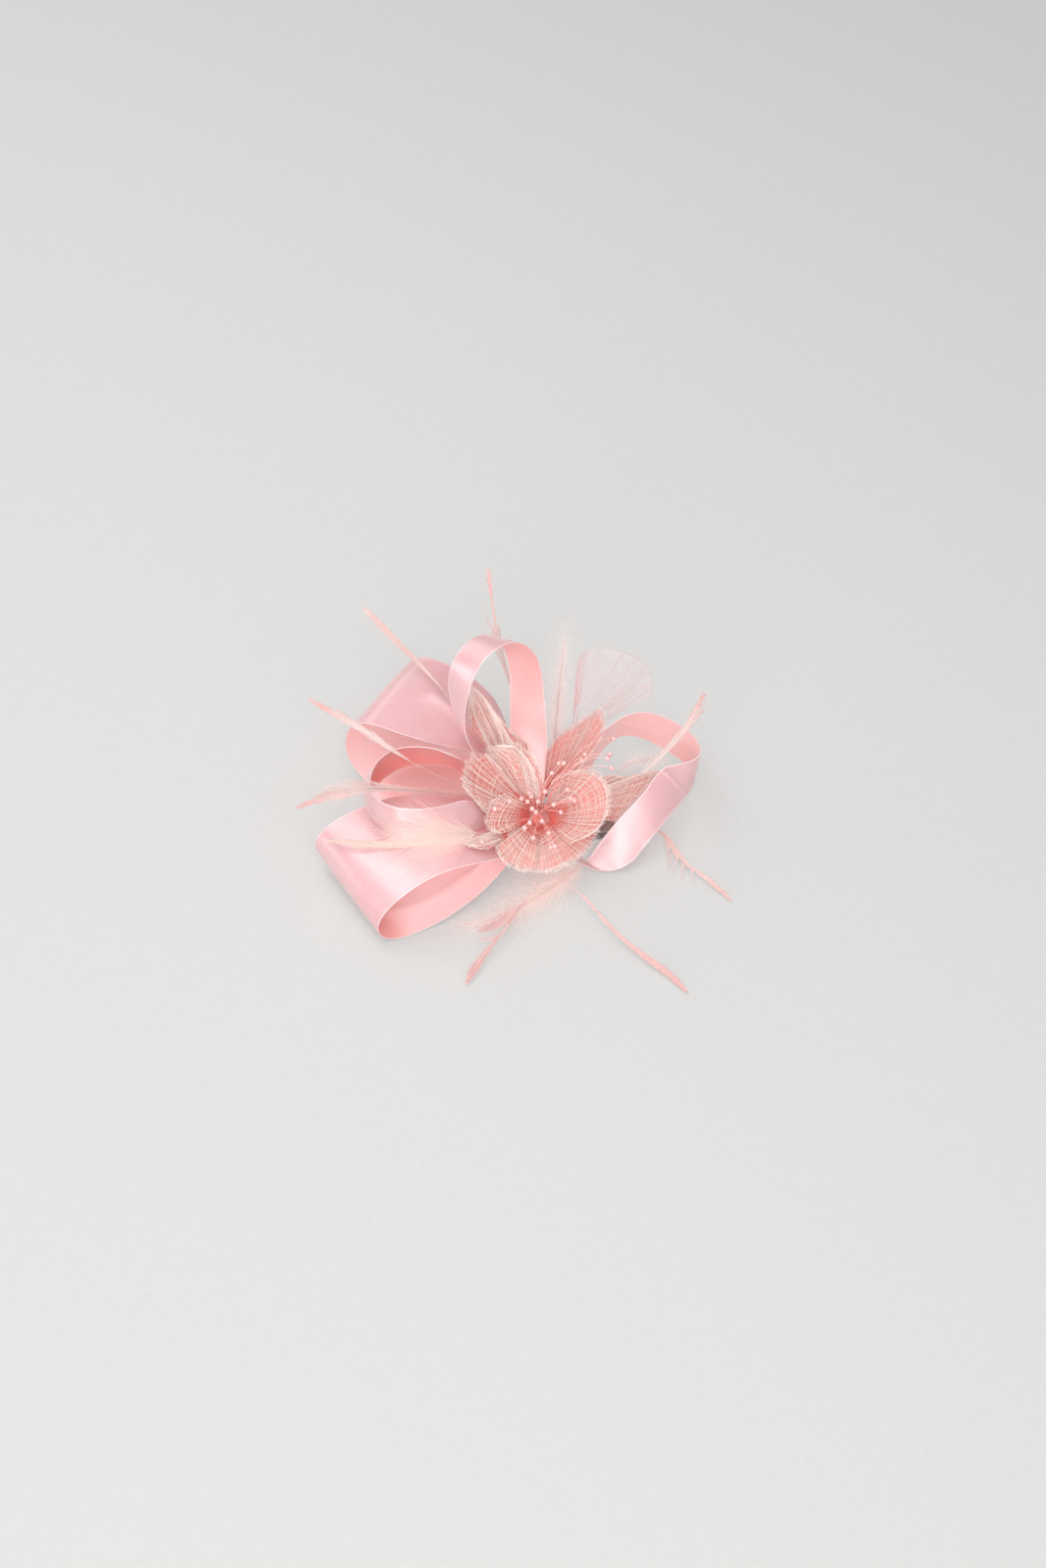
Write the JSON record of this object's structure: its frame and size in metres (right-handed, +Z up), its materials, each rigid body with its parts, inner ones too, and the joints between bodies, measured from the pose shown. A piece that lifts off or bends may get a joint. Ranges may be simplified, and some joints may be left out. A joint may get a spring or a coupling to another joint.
{
  "type": "hair clip fascinator",
  "caption": "Clip-on fascinator: open-weave flower with beaded stamens, satin ribbon loops, quill feathers, soft plumes and a net fan on a felt base over a sprung hair clip.",
  "frame": {"origin": "middle of the flat underside of the clip's lower jaw", "axes": "+Z up out of the clip through the flower, +X along the clip towards the squeeze tails, -Y towards the front of the piece"},
  "size_m": [0.1795, 0.1751, 0.0731],
  "materials": {
    "satin_ribbon": "satin",
    "sinamay": "open weave, matte",
    "quill_feather": "matte",
    "marabou": "fluffy",
    "pearl": "pearl",
    "net": "sheer net",
    "felt": "felt",
    "floral_tape": "matte",
    "clip_metal": "nickel plate",
    "spring_wire": "drawn wire"
  },
  "bodies": {
    "headpiece": {"clip_upper_jaw": "clip_metal", "clip_pivot_pin": "clip_metal", "clip_spring": "spring_wire", "felt_base": "felt", "stem_binding": "floral_tape", "front_left_loop": "satin_ribbon", "back_left_loop": "satin_ribbon", "ring_loop": "satin_ribbon", "arch_loop": "satin_ribbon", "right_loop": "satin_ribbon", "petal_upper": "sinamay", "petal_left": "sinamay", "petal_lower_left": "sinamay", "petal_front_left": "sinamay", "petal_front_right": "sinamay", "petal_right": "sinamay", "petal_back": "sinamay", "petal_back_left": "sinamay", "petal_back_right": "sinamay", "petal_tip": "sinamay", "stamens_centre_left": "pearl", "stamens_centre": "pearl", "stamens_front": "pearl", "stamens_right": "pearl", "stamens_back": "pearl", "stamens_back_right": "pearl", "feather_top": "quill_feather", "feather_upper_left": "quill_feather", "feather_left_high": "quill_feather", "feather_left": "quill_feather", "feather_on_loop": "quill_feather", "feather_front_left": "quill_feather", "feather_front_right": "quill_feather", "feather_right_low": "quill_feather", "feather_right_high": "quill_feather", "plume_left": "marabou", "plume_front": "marabou", "plume_back": "marabou", "plume_right": "marabou", "net_fan": "net"},
    "lower_jaw": {"clip_lower_jaw": "clip_metal"}
  },
  "joints": [
    {"name": "clip_hinge", "type": "hinge", "parent": "headpiece", "child": "lower_jaw", "pos_m": [0.017, 0, 0.0032], "axis": [0, -1, 0], "range_deg": [0, 13], "stiffness_Nm_per_rad": 0.25, "springref_deg": -14.32}
  ]
}
